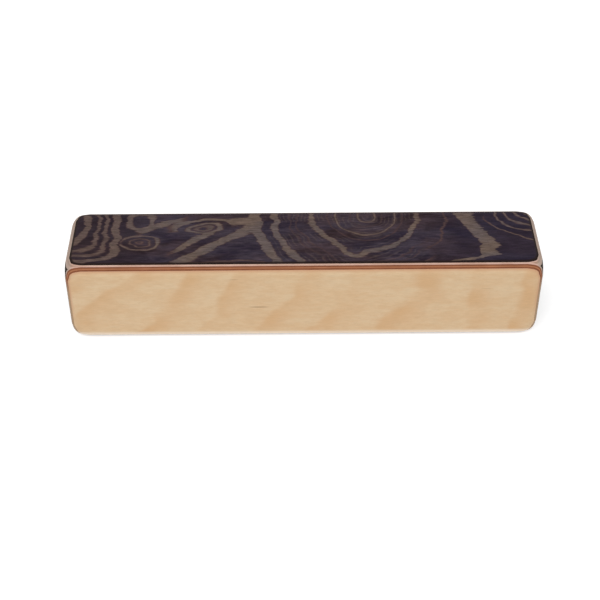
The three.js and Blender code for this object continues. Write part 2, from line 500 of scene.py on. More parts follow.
# The slanting ground left of it, with a small knot.
SLANT_LEG = (0.62, -0.79, 23)
SLANT_ARM = (-0.12, 0.95, -15)
SLANT_GROWTH = 57.0
SLANT_SOFTNESS = 3.0
SLANT_BAND = (-9.5, 1.5, 1.0)
SLANT_BAND_TOP = (2.5, 7.5)
SMALL_KNOT = ((-50, 7.5), (2.0, 0.85))
SMALL_KNOT_START = 39.6
SMALL_KNOT_RATE = 2.2
SMALL_KNOT_FLOOR = 49.7
SMALL_KNOT_SOFTNESS = 1.6
SMALL_KNOT_FEATHER = 0.3
SMALL_KNOT_BANDS = ((1.5, 0.55, 0.75), (3.8, 0.6, 1.0))
SLANT_START = (-72.0, -62.0)

# The right end: a broad band that turns along the front edge at its foot, and arcs in the corner.
RIGHT_SIDE = (1.0, 0.37, -89.5)
RIGHT_FOOT = (1.3, -5.0, -202.5)
RIGHT_SOFTNESS = 5.0
RIGHT_FEATHER = (0.0, 4.0, 0.9, 2.6)
RIGHT_BAND = (0.0, 4.1, 1.0)
RIGHT_LINE = (41.0, 0.5, 0.45)
RIGHT_START = (56.0, 68.0)
CORNER_KNOT = (126, 34)
CORNER_FEATHER = 0.4
CORNER_RINGS = ((18.5, 0.4, 0.9), (22.5, 0.4, 0.9), (27.0, 0.35, 0.9), (31.5, 0.35, 0.9), (37.5, 0.35, 0.8))
CORNER_START = (91.0, 99.0)

# Two knots near the left end, and the band that links them to the slanting ground.
BACK_KNOT = ((-83, 13), (0.95, 1.1))
BACK_KNOT_BAND = (6.6, 1.1, 1.0)
FRONT_KNOT = ((-83.5, -4.4), (1.35, 0.85))
FRONT_KNOT_GROWTH = 0.5
FRONT_KNOT_FEATHER = 0.5
FRONT_KNOT_RING = (7.4, 0.45, 1.0)
FRONT_KNOT_BANDS = ((4.4, 0.25, 0.75), (1.6, 0.3, 0.6))
LINK = (0.45, -0.9, 41.9)
LINK_BAND = (0.0, 1.8, 1.0)
LINK_START = (-88.0, -80.0)
LINK_END = (-56.0, -66.0)

# The waves at the left end: upright, and sweeping along the front edge at their feet.
WAVES_UPRIGHT = (1.0, 0.0, 93)
WAVES_FOOT = (0.0, -1.3, -27)
WAVES_SOFTNESS = 24.0
WAVES_RIM = (-0.2, 1.4)
END_WAVES = ((-2.2, 1.8, 0.95), (-7.3, 0.9, 0.8), (-11.5, 0.9, 0.8), (-18.5, 1.9, 0.9), (-27.0, 1.7, 0.8))

# Flow lines along the front edge.
FRONT_FLOW = ((-41, -34), (2.6, 1.0))
FLOW_FEATHER = 0.3
FLOW_BANDS = ((12.9, 0.25, 0.5), (15.3, 0.35, 0.6))

# The faint growth lines: their rate in the growth of the ground, and the patches where they show.
LINES_FEATHER = 0.25
LINES_RATE = 2.7
LINES_LEVELS = (0.2, 1.0)
LINED_NOISE = ((30, 9, 1), 2.0, 0.5, 12.0)
LINED_LEVELS = (0.46, 0.62)
LINED_START = (-24.0, -10.0)
LINED_END = (70.0, 56.0)

# Where the veneer turns warmer and cooler towards its ends.
WARM_END = (-66.0, -100.0)
COOL_END = (50.0, 96.0)


def middle_figure(tree, place, calmer_place, feather):
    """The large knot and the slanting ground left of it: their growth, and how light they are."""
    rings = ring_distance(tree, place, LARGE_KNOT)
    spur = maths(tree, "ADD", ring_distance(tree, place, LARGE_KNOT_SPUR), SPUR_GROWTH)
    rings = maths(tree, "SMOOTH_MIN", rings, spur, SPUR_SOFTNESS)
    leg = slope(tree, place, *SLANT_LEG)
    slant = maths(tree, "SMOOTH_MAX", leg, slope(tree, place, *SLANT_ARM), SLANT_SOFTNESS)
    slant = maths(tree, "ADD", slant, SLANT_GROWTH)
    growth = maths(tree, "SMOOTH_MIN", slant, rings, SLANT_SOFTNESS)
    eye = ring_distance(tree, place, *SMALL_KNOT)
    small = maths(tree, "MULTIPLY_ADD", eye, SMALL_KNOT_RATE, SMALL_KNOT_START)
    small = maths(tree, "MAXIMUM", small, SMALL_KNOT_FLOOR)
    growth = maths(tree, "SMOOTH_MIN", growth, small, SMALL_KNOT_SOFTNESS)

    inner = ring_distance(tree, calmer_place, LARGE_KNOT)
    up_face = vector_maths(tree, "DOT_PRODUCT", place, (0, 1, 0))
    lower = spread(tree, up_face, *SLANT_BAND_TOP, 1.0, 0.0)
    light = greatest(
        tree,
        bands(tree, feathered(tree, growth, feather), *LARGE_KNOT_BANDS),
        bands(tree, feathered(tree, rings, feather), LARGE_KNOT_STRIP),
        bands(tree, feathered(tree, inner, feather, INNER_FEATHER), *INNER_BANDS),
        faded(tree, bands(tree, feathered(tree, leg, feather), SLANT_BAND), lower),
        bands(tree, feathered(tree, eye, feather, SMALL_KNOT_FEATHER), *SMALL_KNOT_BANDS),
    )
    return growth, light


def right_figure(tree, place, growth, feather):
    """The broad band near the right end."""
    side = slope(tree, place, *RIGHT_SIDE)
    edge = maths(tree, "SMOOTH_MAX", side, slope(tree, place, *RIGHT_FOOT), RIGHT_SOFTNESS)
    edge = feathered(tree, edge, feather, spread(tree, edge, *RIGHT_FEATHER))
    line = bands(tree, feathered(tree, growth, feather), RIGHT_LINE)
    return greatest(tree, bands(tree, edge, RIGHT_BAND), line)


def corner_figure(tree, place, along, feather):
    """The arcs in the back right corner."""
    rings = feathered(tree, ring_distance(tree, place, CORNER_KNOT), feather, CORNER_FEATHER)
    return faded(tree, bands(tree, rings, *CORNER_RINGS), spread(tree, along, *CORNER_START))


def left_knots_figure(tree, place, along, feather):
    """The two knots near the left end, and their link to the slanting ground."""
    back = ring_distance(tree, place, *BACK_KNOT)
    front = maths(tree, "ADD", ring_distance(tree, place, *FRONT_KNOT), FRONT_KNOT_GROWTH)
    link = bands(tree, feathered(tree, slope(tree, place, *LINK), feather), LINK_BAND)
    return greatest(
        tree,
        bands(tree, feathered(tree, back, feather), BACK_KNOT_BAND),
        bands(tree, feathered(tree, front, feather, FRONT_KNOT_FEATHER), FRONT_KNOT_RING),
        bands(tree, front, *FRONT_KNOT_BANDS),
        faded(tree, link, spread(tree, along, *LINK_START), spread(tree, along, *LINK_END)),
    )


def growth_lines(tree, flat, along, growth, feather):
    """Faint growth lines in patches of the ground round the large knot."""
    calm = feathered(tree, growth, feather, LINES_FEATHER)
    swing = maths(tree, "SINE", maths(tree, "MULTIPLY", calm, LINES_RATE))
    patches = spread(tree, noise(tree, flat, *LINED_NOISE), *LINED_LEVELS)
    start, end = spread(tree, along, *LINED_START), spread(tree, along, *LINED_END)
    return faded(tree, spread(tree, swing, *LINES_LEVELS), patches, start, end)


def figure_group():
    """The figure of the dark veneer: how light it is, the faint growth lines of its dark ground, how
    warm its tone is, which is most at its left end, and how cool, which is most at its right end."""
    outputs = [("Light", FLOAT), ("Lines", FLOAT), ("Warmth", FLOAT), ("Coolness", FLOAT)]
    tree, given, out = shader_group("contour_figure", [("Place", VECTOR, None)], outputs)
    flat = vector_maths(tree, "MULTIPLY", given["Place"], (1, 1, 0))
    wander = add_node(tree, "ShaderNodeCombineXYZ")
    for socket, shift, reach in zip(wander.inputs, WANDER_SHIFTS, WANDER_REACHES):
        swing = maths(tree, "SUBTRACT", noise(tree, flat, *WANDER_NOISE, shift), 0.5)
        connect(tree, maths(tree, "MULTIPLY", swing, reach), socket)
    place = vector_maths(tree, "ADD", flat, wander.outputs[0])
    calmer_place = vector_maths(tree, "MULTIPLY_ADD", wander.outputs[0], (INNER_WANDER,) * 3, flat)
    along = vector_maths(tree, "DOT_PRODUCT", place, (1, 0, 0))
    streaks = maths(tree, "SUBTRACT", noise(tree, flat, *FEATHER_NOISE), 0.5)
    feather = maths(tree, "MULTIPLY", streaks, FEATHER_REACH)

    growth, middle = middle_figure(tree, place, calmer_place, feather)
    middle = faded(tree, middle, spread(tree, along, *SLANT_START))
    right = right_figure(tree, place, growth, feather)
    light = greatest(
        tree,
        blend_values(tree, spread(tree, along, *RIGHT_START), middle, right),
        corner_figure(tree, place, along, feather),
        left_knots_figure(tree, place, along, feather),
    )

    upright, foot = slope(tree, place, *WAVES_UPRIGHT), slope(tree, place, *WAVES_FOOT)
    waves = feathered(tree, maths(tree, "SMOOTH_MAX", upright, foot, WAVES_SOFTNESS), feather)
    light = blend_values(tree, spread(tree, waves, *WAVES_RIM), bands(tree, waves, *END_WAVES), light)
    flow = feathered(tree, ring_distance(tree, place, *FRONT_FLOW), feather, FLOW_FEATHER)

    connect(tree, greatest(tree, light, bands(tree, flow, *FLOW_BANDS)), out["Light"])
    connect(tree, growth_lines(tree, flat, along, growth, feather), out["Lines"])
    connect(tree, spread(tree, along, *WARM_END), out["Warmth"])
    connect(tree, spread(tree, along, *COOL_END), out["Coolness"])
    return tree


FIBRES = fibres_group()
CUT_EDGE = cut_edge_group()
FIGURE = figure_group()


# Finishes.

# The turns that lay a grain along X, Y or Z.
GRAIN_TURNS = {"x": (0, 0, 0), "y": (0, 0, math.pi / 2), "z": (0, math.pi / 2, 0)}


def face_depth(tree, place, axis, size):
    """How deep a place lies under the nearer of two opposite faces of the box."""
    along = add_node(tree, "ShaderNodeSeparateXYZ", {"Vector": place}).outputs[axis]
    if axis == "Z":
        along = maths(tree, "SUBTRACT", along, size / 2)
    return maths(tree, "SUBTRACT", size / 2, maths(tree, "ABSOLUTE", along))


def grained(tree, base, fibres, contrast, pore_share, pore_colour):
    """A colour with the streaks and the pores of the wood's fibres."""
    streaked = blend(tree, 1.0, base, vary(tree, fibres["Fibres"], *contrast), "MULTIPLY")
    return blend(tree, faded(tree, fibres["Pores"], pore_share), streaked, pore_colour)


# The dark veneer. Its ground drifts between a brown and a violet, and is hazy and mottled in places.
# The rims of its bands are brown, and so is its own sanded rim, which starts and is full at two depths
# under the face.
VENEER_SPECULAR = 0.05
VENEER_FIBRES = {"Fibre Length": 6.0, "Fibre Width": 0.42}
VENEER_CONTRAST = (0.52, 1.55)
VENEER_DRIFT = ((34, 14, 14), 3.0, 0.55, 6.0)
VENEER_DRIFT_LEVELS = (0.38, 0.62)
VENEER_HAZE = ((22, 8, 8), 4.0, 0.6, 8.0)
VENEER_HAZE_LEVELS = (0.34, 0.64)
VENEER_MOTTLE = ((6, 1.3, 1.3), 3.0, 0.6, 14.0)
VENEER_MOTTLE_LEVELS = (0.42, 0.62, 0.0, 0.2)
VENEER_GROUND = (colour(39, 24, 27), colour(33, 25, 41))
VENEER_HAZY = (colour(67, 53, 60), colour(61, 53, 64))
VENEER_MOTTLED = colour(84, 70, 78)
VENEER_WARM = colour(36, 22, 25)
VENEER_WARM_SHARE = 0.6
VENEER_COOL = colour(30, 24, 42)
VENEER_COOL_SHARE = 0.6
VENEER_BAND = (colour(103, 86, 77), colour(94, 82, 81))
VENEER_BAND_LEVELS = (0.35, 1.0)
VENEER_BAND_WARM = colour(93, 74, 68)
VENEER_BAND_WARM_SHARE = 0.7
VENEER_BAND_MOTTLED = colour(120, 106, 94)
VENEER_BAND_RIM = colour(74, 55, 55)
VENEER_BAND_RIM_LEVELS = (0.0, 0.5)
VENEER_LINES_SHARE = 0.25
VENEER_PORE = colour(22, 17, 20)
VENEER_PORE_SHARE = 0.55
VENEER_PORE_DEPTH = 0.8
VENEER_RIM = colour(36, 25, 21)
VENEER_RIM_DEPTHS = (0.04, 0.4)
VENEER_RELIEF = 0.05
DARK_ROUGHNESS = (0.46, 0.6)


def dark_figured_finish(name, shift, turn):
    """Near-black veneer with olive-brown contour figure, satin oiled."""
    material, tree, shader = new_material(name, VENEER_SPECULAR)
    place = place_in_millimetres(tree)
    moved = add_node(tree, "ShaderNodeMapping", {"Vector": place})
    moved.inputs["Location"].default_value = (*shift, 0)
    moved.inputs["Rotation"].default_value = (0, 0, turn)
    figure = use_group(tree, FIGURE, {"Place": moved.outputs[0]})
    fibres = use_group(tree, FIBRES, {"Place": place, **VENEER_FIBRES})
    drift = spread(tree, noise(tree, place, *VENEER_DRIFT), *VENEER_DRIFT_LEVELS)
    haze = spread(tree, noise(tree, place, *VENEER_HAZE), *VENEER_HAZE_LEVELS)
    mottle = spread(tree, noise(tree, place, *VENEER_MOTTLE), *VENEER_MOTTLE_LEVELS)

    ground = blend(tree, haze, blend(tree, drift, *VENEER_GROUND), blend(tree, drift, *VENEER_HAZY))
    ground = blend(tree, mottle, ground, VENEER_MOTTLED)
    ground = blend(tree, faded(tree, figure["Warmth"], VENEER_WARM_SHARE), ground, VENEER_WARM)
    ground = blend(tree, faded(tree, figure["Coolness"], VENEER_COOL_SHARE), ground, VENEER_COOL)
    warmth = faded(tree, figure["Warmth"], VENEER_BAND_WARM_SHARE)
    band = blend(tree, warmth, blend(tree, drift, *VENEER_BAND), VENEER_BAND_WARM)
    band = blend(tree, mottle, band, VENEER_BAND_MOTTLED)
    ground = blend(tree, faded(tree, figure["Lines"], VENEER_LINES_SHARE), ground, band)
    ground = blend(tree, spread(tree, figure["Light"], *VENEER_BAND_RIM_LEVELS), ground, VENEER_BAND_RIM)
    base = blend(tree, spread(tree, figure["Light"], *VENEER_BAND_LEVELS), ground, band)
    base = grained(tree, base, fibres, VENEER_CONTRAST, VENEER_PORE_SHARE, VENEER_PORE)

    rim = spread(tree, face_depth(tree, place, "Z", HEIGHT), *VENEER_RIM_DEPTHS)
    connect(tree, blend(tree, rim, base, VENEER_RIM), shader.inputs["Base Color"])
    connect(tree, vary(tree, fibres["Fibres"], *DARK_ROUGHNESS), shader.inputs["Roughness"])
    pits = faded(tree, fibres["Pores"], VENEER_PORE_DEPTH)
    add_relief(tree, shader, maths(tree, "SUBTRACT", fibres["Fibres"], pits), VENEER_RELIEF)
    return material


# The dark boards in the ends.
BOARD_SPECULAR = 0.04
BOARD_FIBRES = {"Fibre Length": 9.0, "Fibre Width": 0.4}
BOARD_CONTRAST = (0.8, 1.2)
BOARD_RINGS = ((60, 9, 3.2), 3.0, 0.55, 6.0)
BOARD_RING_LEVELS = (0.42, 0.6)
BOARD_COLOURS = (colour(28, 21, 19), colour(52, 41, 36))
BOARD_PORE = colour(18, 14, 15)
BOARD_PORE_SHARE = 0.6
BOARD_RELIEF = 0.04


def dark_board_finish():
    """The solid dark boards in the ends, with fine grain that runs across the box."""
    material, tree, shader = new_material("dark_end_board", BOARD_SPECULAR)
    turned = add_node(tree, "ShaderNodeMapping", {"Vector": place_in_millimetres(tree)})
    turned.inputs["Rotation"].default_value = GRAIN_TURNS["y"]
    fibres = use_group(tree, FIBRES, {"Place": turned.outputs[0], **BOARD_FIBRES})
    rings = spread(tree, noise(tree, turned.outputs[0], *BOARD_RINGS), *BOARD_RING_LEVELS)
    base = blend(tree, rings, *BOARD_COLOURS)
    base = grained(tree, base, fibres, BOARD_CONTRAST, BOARD_PORE_SHARE, BOARD_PORE)
    connect(tree, base, shader.inputs["Base Color"])
    connect(tree, vary(tree, fibres["Fibres"], *DARK_ROUGHNESS), shader.inputs["Roughness"])
    add_relief(tree, shader, fibres["Fibres"], BOARD_RELIEF)
    return material


# The birch. Its peach flames have a pitch in millimetres, and lean along the box by these amounts for
# each millimetre up it, at its left end and at its right end. Each rises at one side of its pitch and
# fades towards the other.
BIRCH_SPECULAR = 0.2
BIRCH_FIBRES = {"Fibre Length": 5.0, "Fibre Width": 0.5}
BIRCH_CONTRAST = (0.95, 1.05)
BIRCH_CLOUDS = ((34, 30, 10), 2.0, 0.5, 4.0)
BIRCH_CLOUD_LEVELS = (0.36, 0.64)
BIRCH_MOTTLE = ((6, 6, 2.4), 3.0, 0.6, 11.0)
BIRCH_MOTTLE_LEVELS = (0.36, 0.64, 0.0, 0.3)
BIRCH_COLOURS = (colour(223, 196, 160), colour(221, 191, 153))
BIRCH_FLAME = colour(215, 176, 133)
BIRCH_MOTTLED = colour(210, 171, 128)
BIRCH_PORE = colour(172, 126, 88)
BIRCH_PORE_SHARE = 0.13
BIRCH_ROUGHNESS = (0.46, 0.56)
BIRCH_RELIEF = 0.03
FLAME_PITCH = 33
FLAME_SLANTS = (1.0, 0.25)
FLAME_WANDER = ((60, 40, 34), 3.0, 0.5, 2.0)
FLAME_WANDER_REACH = 1.5
FLAME_RISE = (0.05, 0.2)
FLAME_FADE = (0.75, 0.22)
FLAME_STRENGTH = ((40, 30, 22), 2.0, 0.5, 7.0)
FLAME_STRENGTH_LEVELS = (0.34, 0.66, 0.2, 1.0)

# Short dark dashes in the birch, where a vessel or a pin knot shows: place along the box and up it,
# length, width and strength.
BIRCH_DASHES = (
    (-23, 21.7, 13, 0.7, 0.8),
    (-35, 40, 6, 0.6, 0.35),
    (58, 14, 5, 0.5, 0.3),
    (92, 33, 7, 0.45, 0.25),
)
DASH_COLOUR = colour(134, 92, 62)
DASH_FADE = (0.35, 1.0)

# The sanded rim of the birch is browner towards the top: how deep under the face that starts and is
# full, how high up it starts and is full, and its share.
BIRCH_RIM = colour(200, 152, 118)
BIRCH_RIM_DEPTHS = (0.05, 0.9)
BIRCH_RIM_HEIGHTS = (6.0, 30.0)
BIRCH_RIM_SHARE = 0.8

# Painted light bounced up from the floor makes the lower long edges paler: how high above the underside
# that starts and is full, and how high up it starts to show and is full on the plies, so that their lines
# still show from below.
PAINTED_BOUNCE_HEIGHTS = (6.2, 3.4)
PAINTED_BOUNCE_PLY_HEIGHTS = (1.1, 1.7)
PAINTED_BOUNCE_COLOUR = colour(250, 233, 212)


def birch_flames(tree, place, parts):
    """How strong the flames are."""
    lean = spread(tree, parts["X"], -LENGTH / 2, LENGTH / 2, *FLAME_SLANTS, "LINEAR")
    down = maths(tree, "MULTIPLY", parts["Z"], -1.0)
    turns = maths(tree, "DIVIDE", maths(tree, "MULTIPLY_ADD", down, lean, parts["X"]), FLAME_PITCH)
    wander = maths(tree, "SUBTRACT", noise(tree, place, *FLAME_WANDER), 0.5)
    phase = maths(tree, "FRACT", maths(tree, "MULTIPLY_ADD", wander, FLAME_WANDER_REACH, turns))
    strength = spread(tree, noise(tree, place, *FLAME_STRENGTH), *FLAME_STRENGTH_LEVELS)
    return faded(tree, spread(tree, phase, *FLAME_RISE), spread(tree, phase, *FLAME_FADE), strength)


def birch_finish(name, mirror):
    """Pale rotary-cut birch: soft peach flames on the slant and fine grain along the box."""
    material, tree, shader = new_material(name, BIRCH_SPECULAR)
    place = place_in_millimetres(tree)
    placed = vector_maths(tree, "MULTIPLY", place, (mirror, 1, 1))
    parts = add_node(tree, "ShaderNodeSeparateXYZ", {"Vector": placed}).outputs
    fibres = use_group(tree, FIBRES, {"Place": placed, **BIRCH_FIBRES})
    clouds = spread(tree, noise(tree, placed, *BIRCH_CLOUDS), *BIRCH_CLOUD_LEVELS)
    base = blend(tree, clouds, *BIRCH_COLOURS)
    base = blend(tree, birch_flames(tree, placed, parts), base, BIRCH_FLAME)
    mottle = spread(tree, noise(tree, placed, *BIRCH_MOTTLE), *BIRCH_MOTTLE_LEVELS)
    base = blend(tree, mottle, base, BIRCH_MOTTLED)
    base = grained(tree, base, fibres, BIRCH_CONTRAST, BIRCH_PORE_SHARE, BIRCH_PORE)
    for along, up, length, width, strength in BIRCH_DASHES:
        dash = add_node(tree, "ShaderNodeMapping", {"Vector": placed}, vector_type="TEXTURE")
        dash.inputs["Location"].default_value = (along, 0, up)
        dash.inputs["Scale"].default_value = (length / 2, 1, width / 2)
        flat = vector_maths(tree, "MULTIPLY", dash.outputs[0], (1, 0, 1))
        share = spread(tree, vector_maths(tree, "LENGTH", flat), *DASH_FADE, strength, 0.0)
        base = blend(tree, share, base, DASH_COLOUR)
    rim = spread(tree, face_depth(tree, place, "Y", DEPTH), *BIRCH_RIM_DEPTHS)
    upper = spread(tree, parts["Z"], *BIRCH_RIM_HEIGHTS)
    base = blend(tree, faded(tree, rim, upper, BIRCH_RIM_SHARE), base, BIRCH_RIM)
    # Painted light from the floor: the birch turns paler along its lower long edges.
    base = blend(tree, spread(tree, parts["Z"], *PAINTED_BOUNCE_HEIGHTS), base, PAINTED_BOUNCE_COLOUR)
    connect(tree, base, shader.inputs["Base Color"])
    connect(tree, vary(tree, fibres["Fibres"], *BIRCH_ROUGHNESS), shader.inputs["Roughness"])
    add_relief(tree, shader, fibres["Fibres"], BIRCH_RELIEF)
    return material


# The cut edges of the plies. An edge turns from its colour along the box to its colour at the ends:
# how far from the end that starts and is full, and how high up it starts and is full, for the plies of
# the dark panels and for those of the birch panels.
PLY_SPECULAR = 0.18
PLY_STREAKS = {"Streak Length": 8.0, "Streak Width": 0.3}
PLY_PATCH_LEVELS = (0.36, 0.64)
PLY_ROUGHNESS = (0.56, 0.7)
PLY_RELIEF = 0.03
PLY_CONTRAST = 0.1
BROWN_PLY_CONTRAST = 0.14
END_ZONE = (5.0, 2.5)
DARK_PANEL_END_HEIGHTS = (HEIGHT + 2, HEIGHT + 1)
BIRCH_PANEL_END_HEIGHTS = (41.0, 30.0)


def ply_finish(name, patches, ends, end_heights, along, contrast=PLY_CONTRAST):
    """The sanded edge of a ply in patches of two colours, with another down the upright edges of the box,
    where its grain is cut the other way, and painted light from the floor that makes its lower long edges
    paler. along is the axis that the grain follows."""
    material, tree, shader = new_material(name, PLY_SPECULAR)
    place = place_in_millimetres(tree)
    turned = add_node(tree, "ShaderNodeMapping", {"Vector": place})
    turned.inputs["Rotation"].default_value = GRAIN_TURNS[along]
    edge = use_group(tree, CUT_EDGE, {"Place": turned.outputs[0], **PLY_STREAKS})
    height = add_node(tree, "ShaderNodeSeparateXYZ", {"Vector": place}).outputs["Z"]
    at_ends = spread(tree, face_depth(tree, place, "X", LENGTH), *END_ZONE)
    between = maths(tree, "SUBTRACT", 1.0, at_ends)
    # Painted light from the floor: paler along the lower long edges, between the ends.
    painted_bounce = faded(tree, spread(tree, height, *PAINTED_BOUNCE_HEIGHTS), between, spread(tree, height, *PAINTED_BOUNCE_PLY_HEIGHTS))
    at_ends = faded(tree, at_ends, spread(tree, height, *end_heights))
    base = blend(tree, spread(tree, edge["Patches"], *PLY_PATCH_LEVELS), *patches)
    base = blend(tree, painted_bounce, blend(tree, at_ends, base, ends), PAINTED_BOUNCE_COLOUR)
    streak = vary(tree, edge["Grain"], 1 - contrast, 1 + contrast)
    connect(tree, blend(tree, 1.0, base, streak, "MULTIPLY"), shader.inputs["Base Color"])
    connect(tree, vary(tree, edge["Grain"], *PLY_ROUGHNESS), shader.inputs["Roughness"])
    add_relief(tree, shader, edge["Grain"], PLY_RELIEF)
    return material


# The steel balls.
STEEL_SPECULAR = 0.5
STEEL_WEAR = ((0.5, 0.5, 0.5), 4.0, 0.6)
STEEL_COLOURS = (colour(176, 179, 184), colour(206, 208, 211))
STEEL_ROUGHNESS = (0.14, 0.32)


def steel_finish():
    """Polished balls with the fine scratches that rolling leaves."""
    material, tree, shader = new_material("polished_steel", STEEL_SPECULAR)
    shader.inputs["Metallic"].default_value = 1.0
    wear = noise(tree, place_in_millimetres(tree), *STEEL_WEAR)
    connect(tree, blend(tree, wear, *STEEL_COLOURS), shader.inputs["Base Color"])
    connect(tree, vary(tree, wear, *STEEL_ROUGHNESS), shader.inputs["Roughness"])
    return material


# The seeds.
SEED_SPECULAR = 0.35
SEED_TONE = ((5, 5, 5), 2.0, 0.5)
SEED_TONE_LEVELS = (0.38, 0.62)
SEED_COLOURS = (colour(150, 102, 62), colour(112, 72, 42))
SEED_SPECKLES = ((0.5, 0.5, 0.5), 3.0, 0.6)
SEED_SPECKLE_LEVELS = (0.56, 0.66, 0.0, 0.6)
SEED_SPECKLE = colour(70, 42, 26)
SEED_ROUGHNESS = (0.42, 0.58)
SEED_RELIEF = 0.04


def seed_finish():
    """Smooth brown seed coats with darker speckles."""
    material, tree, shader = new_material("seed_coat", SEED_SPECULAR)
    place = place_in_millimetres(tree)
    tone = spread(tree, noise(tree, place, *SEED_TONE), *SEED_TONE_LEVELS)
    speckles = noise(tree, place, *SEED_SPECKLES)
    base = blend(tree, tone, *SEED_COLOURS)
    base = blend(tree, spread(tree, speckles, *SEED_SPECKLE_LEVELS), base, SEED_SPECKLE)
    connect(tree, base, shader.inputs["Base Color"])
    connect(tree, vary(tree, speckles, *SEED_ROUGHNESS), shader.inputs["Roughness"])
    add_relief(tree, shader, speckles, SEED_RELIEF)
    return material


CREAM = ply_finish(
    "cream_ply_edge",
    (colour(208, 172, 156), colour(196, 158, 140)),
    colour(180, 158, 144),
    DARK_PANEL_END_HEIGHTS,
    "x",
)
TAN = ply_finish(
    "tan_ply_edge",
    (colour(172, 138, 120), colour(158, 124, 104)),
    colour(168, 146, 132),
    DARK_PANEL_END_HEIGHTS,
    "y",
)
BROWN = ply_finish(
    "brown_ply_edge",
    (colour(134, 79, 51), colour(124, 72, 46)),
    colour(166, 136, 106),
    BIRCH_PANEL_END_HEIGHTS,
    "z",
    BROWN_PLY_CONTRAST,
)
ORANGE = ply_finish(
    "orange_ply_edge",
    (colour(176, 118, 84), colour(164, 106, 72)),
    colour(176, 150, 122),
    BIRCH_PANEL_END_HEIGHTS,
    "x",
)
DARK_TOP = dark_figured_finish("dark_figured_top", (0, 0), 0)
DARK_BOTTOM = dark_figured_finish("dark_figured_bottom", (14, -6), math.pi)
DARK_END = dark_board_finish()
BIRCH_FRONT = birch_finish("birch_front", 1)
BIRCH_BACK = birch_finish("birch_back", -1)
STEEL = steel_finish()
SEED = seed_finish()

# The material and the slot of each board and ply of the box.
SHELL = {}
for panel, veneer in (("top", DARK_TOP), ("bottom", DARK_BOTTOM)):
    SHELL[panel + "_veneer"] = (veneer, "dark_veneer")
    SHELL[panel + "_face_ply"] = (CREAM, "pale_ply")
    SHELL[panel + "_core_ply"] = (TAN, "brown_ply")
    SHELL[panel + "_inner_ply"] = (CREAM, "pale_ply")
for panel, face in (("front", BIRCH_FRONT), ("back", BIRCH_BACK)):
    SHELL[panel + "_face_ply"] = (face, "birch_face")
    SHELL[panel + "_cross_ply"] = (BROWN, "brown_ply")
    SHELL[panel + "_middle_ply"] = (ORANGE, "pale_ply")
    SHELL[panel + "_inner_cross_ply"] = (BROWN, "brown_ply")
    SHELL[panel + "_inner_ply"] = (CREAM, "pale_ply")
for board in ("left_end_board", "right_end_board"):
    SHELL[board] = (DARK_END, "dark_board")

box_outside = sanded_box()
for node, (material, slot) in SHELL.items():
    sanded_piece(node, box_outside, material)
box_outside.free()

# The divider keeps its solids, and takes only their materials.
DIVIDER = {"divider_front_ply": CREAM, "divider_core_ply": BROWN, "divider_back_ply": CREAM}
for node, material in DIVIDER.items():
    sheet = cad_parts[node]
    sheet.data.materials.clear()
    sheet.data.materials.append(material)


# The loose filling.


def random_value(tree, low, high, seed):
    node = add_node(tree, "FunctionNodeRandomValue", {"Seed": seed}, data_type="FLOAT")
    for number, value in zip(RANDOM_ENDS, (low, high)):
        node.inputs[number].default_value = value
    return node.outputs[RANDOM_VALUE]


def grains_tree(name, material, smallest):
    """Copies of one grain on a row's points, each turned and sized a little differently."""
    tree = bpy.data.node_groups.new(name, "GeometryNodeTree")
    face = tree.interface
    face.new_socket(name="Geometry", in_out="INPUT", socket_type="NodeSocketGeometry")
    sockets = {}
    for label, value in (("Diameter", 0.0), ("Flatness", 1.0), ("Dimple", 0.0), ("Detail", GRAIN_DETAIL)):
        kind = "NodeSocketInt" if isinstance(value, int) else "NodeSocketFloat"
        socket = face.new_socket(name=label, in_out="INPUT", socket_type=kind)
        socket.default_value = value
        sockets[label] = socket.identifier
    face.new_socket(name="Geometry", in_out="OUTPUT", socket_type="NodeSocketGeometry")
    entry = tree.nodes.new("NodeGroupInput").outputs
    exit_node = tree.nodes.new("NodeGroupOutput")

    radius = maths(tree, "MULTIPLY", entry["Diameter"], 0.5)
    grain = add_node(tree, "GeometryNodeMeshIcoSphere", {"Radius": radius, "Subdivisions": entry["Detail"]})
    place = tree.nodes.new("GeometryNodeInputPosition").outputs[0]
    parts = add_node(tree, "ShaderNodeSeparateXYZ", {"Vector": place}).outputs
    spot = vector_maths(tree, "LENGTH", vector_maths(tree, "MULTIPLY", place, (1, 1, 0)))
    dimple = maths(tree, "MULTIPLY", spread(tree, spot, 0.0, DIMPLE_RADIUS * MM, 1.0, 0.0), entry["Dimple"])
    sunk = maths(tree, "SUBTRACT", 1.0, dimple)
    flat = faded(tree, parts["Z"], entry["Flatness"], sunk)
    joined = add_node(tree, "ShaderNodeCombineXYZ", {"X": parts["X"], "Y": parts["Y"], "Z": flat})
    moved = {"Geometry": grain.outputs["Mesh"], "Position": joined.outputs[0]}
    shaped = add_node(tree, "GeometryNodeSetPosition", moved)
    smooth = add_node(tree, "GeometryNodeSetShadeSmooth", {"Geometry": shaped.outputs[0]})
    turn = random_value(tree, 0.0, math.tau, TURN_SEED)
    copied = {
        "Points": entry["Geometry"],
        "Instance": smooth.outputs[0],
        "Rotation": add_node(tree, "ShaderNodeCombineXYZ", {"Z": turn}).outputs[0],
        "Scale": random_value(tree, smallest, 1.0, SIZE_SEED),
    }
    copies = add_node(tree, "GeometryNodeInstanceOnPoints", copied)
    real = add_node(tree, "GeometryNodeRealizeInstances", {"Geometry": copies.outputs[0]})
    dressed = add_node(tree, "GeometryNodeSetMaterial", {"Geometry": real.outputs[0], "Material": material})
    tree.links.new(dressed.outputs[0], exit_node.inputs[0])
    return tree, sockets


